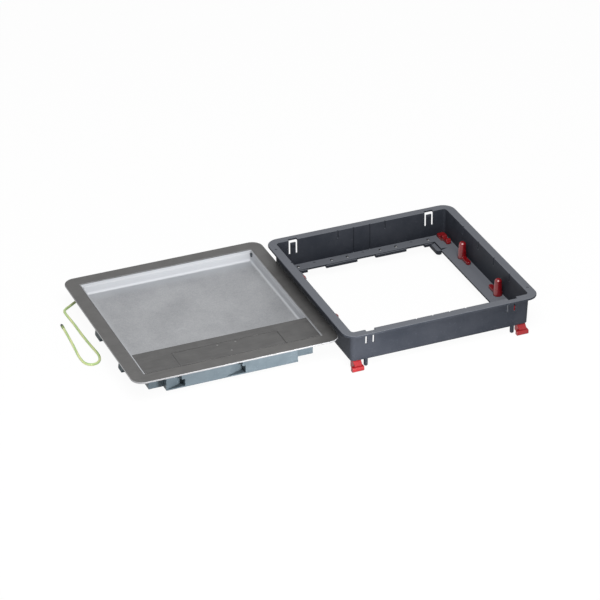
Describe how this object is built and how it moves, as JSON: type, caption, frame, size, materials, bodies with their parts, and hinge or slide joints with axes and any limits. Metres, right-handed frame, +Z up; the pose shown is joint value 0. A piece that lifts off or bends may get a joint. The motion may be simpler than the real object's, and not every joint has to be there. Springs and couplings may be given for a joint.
{
  "type": "floor socket box",
  "caption": "Square floor socket box: steel-trimmed hinged lid with a cord outlet flap and earth lead, beside its deep moulded mounting frame with red corner claws and turrets",
  "frame": {"origin": "middle of the footprint of the two units as they stand side by side, on the floor", "axes": "+X from the cover unit to the mounting frame, +Y from the cord flap to the lid hinge, +Z up"},
  "size_m": [0.5519, 0.306, 0.0537],
  "materials": {
    "moulded_frame": "fine-grained anthracite moulding",
    "red_moulding": "smooth red moulding",
    "carrier_moulding": "blue-grey moulding",
    "brushed_trim": "brushed stainless steel",
    "sheet_steel": "zinc-coated sheet",
    "bright_steel": "plain turned steel",
    "tinned_copper": "tinned",
    "seal_rubber": "soft black foam rubber",
    "wire_covering": "green and yellow insulation",
    "sleeve_plastic": "dark end sleeve"
  },
  "bodies": {
    "box": {"mounting_frame": "moulded_frame", "turret_posts": "bright_steel", "trim_frame": "brushed_trim", "carrier_frame": "carrier_moulding", "lid_seal": "seal_rubber", "hinge_pin_left": "bright_steel", "hinge_pin_right": "bright_steel", "earth_stud": "bright_steel", "earth_lug": "tinned_copper", "earth_washer": "bright_steel", "earth_nut": "bright_steel", "earth_wire": "wire_covering", "wire_sleeve": "sleeve_plastic"},
    "lid": {"lid_tray": "sheet_steel", "lid_strip": "brushed_trim", "lid_stiffeners": "sheet_steel", "flap_pin": "bright_steel", "flap_saddles": "sheet_steel"},
    "flap": {"cord_flap": "brushed_trim", "flap_studs": "bright_steel", "flap_seal": "seal_rubber"},
    "turret_front_left": {"turret_front_left": "red_moulding"},
    "claw_front_left": {"corner_claw_front_left": "red_moulding"},
    "turret_front_right": {"turret_front_right": "red_moulding"},
    "claw_front_right": {"corner_claw_front_right": "red_moulding"},
    "turret_back_left": {"turret_back_left": "red_moulding"},
    "claw_back_left": {"corner_claw_back_left": "red_moulding"},
    "turret_back_right": {"turret_back_right": "red_moulding"},
    "claw_back_right": {"corner_claw_back_right": "red_moulding"}
  },
  "joints": [
    {"name": "lid_hinge", "type": "hinge", "parent": "box", "child": "lid", "pos_m": [-0.1273, 0.128, 0.0269], "axis": [-1, 0, 0], "range_deg": [0, 100]},
    {"name": "flap_hinge", "type": "hinge", "parent": "lid", "child": "flap", "pos_m": [-0.1273, -0.0706, 0.029], "axis": [-1, 0, 0], "range_deg": [0, 95]},
    {"name": "turret_turn_front_left", "type": "hinge", "parent": "box", "child": "turret_front_left", "pos_m": [0.0177, -0.073, 0.0175], "axis": [0, 0, -1], "range_deg": [0, 90]},
    {"name": "claw_slide_front_left", "type": "slide", "parent": "box", "child": "claw_front_left", "axis": [0, 1, 0], "range_m": [0, 0.008]},
    {"name": "turret_turn_front_right", "type": "hinge", "parent": "box", "child": "turret_front_right", "pos_m": [0.2429, -0.073, 0.0175], "axis": [0, 0, 1], "range_deg": [0, 90]},
    {"name": "claw_slide_front_right", "type": "slide", "parent": "box", "child": "claw_front_right", "axis": [0, 1, 0], "range_m": [0, 0.008]},
    {"name": "turret_turn_back_left", "type": "hinge", "parent": "box", "child": "turret_back_left", "pos_m": [0.0177, 0.031, 0.0175], "axis": [0, 0, 1], "range_deg": [0, 90]},
    {"name": "claw_slide_back_left", "type": "slide", "parent": "box", "child": "claw_back_left", "axis": [0, -1, 0], "range_m": [0, 0.008]},
    {"name": "turret_turn_back_right", "type": "hinge", "parent": "box", "child": "turret_back_right", "pos_m": [0.2429, 0.031, 0.0175], "axis": [0, 0, -1], "range_deg": [0, 90]},
    {"name": "claw_slide_back_right", "type": "slide", "parent": "box", "child": "claw_back_right", "axis": [0, -1, 0], "range_m": [0, 0.008]}
  ]
}
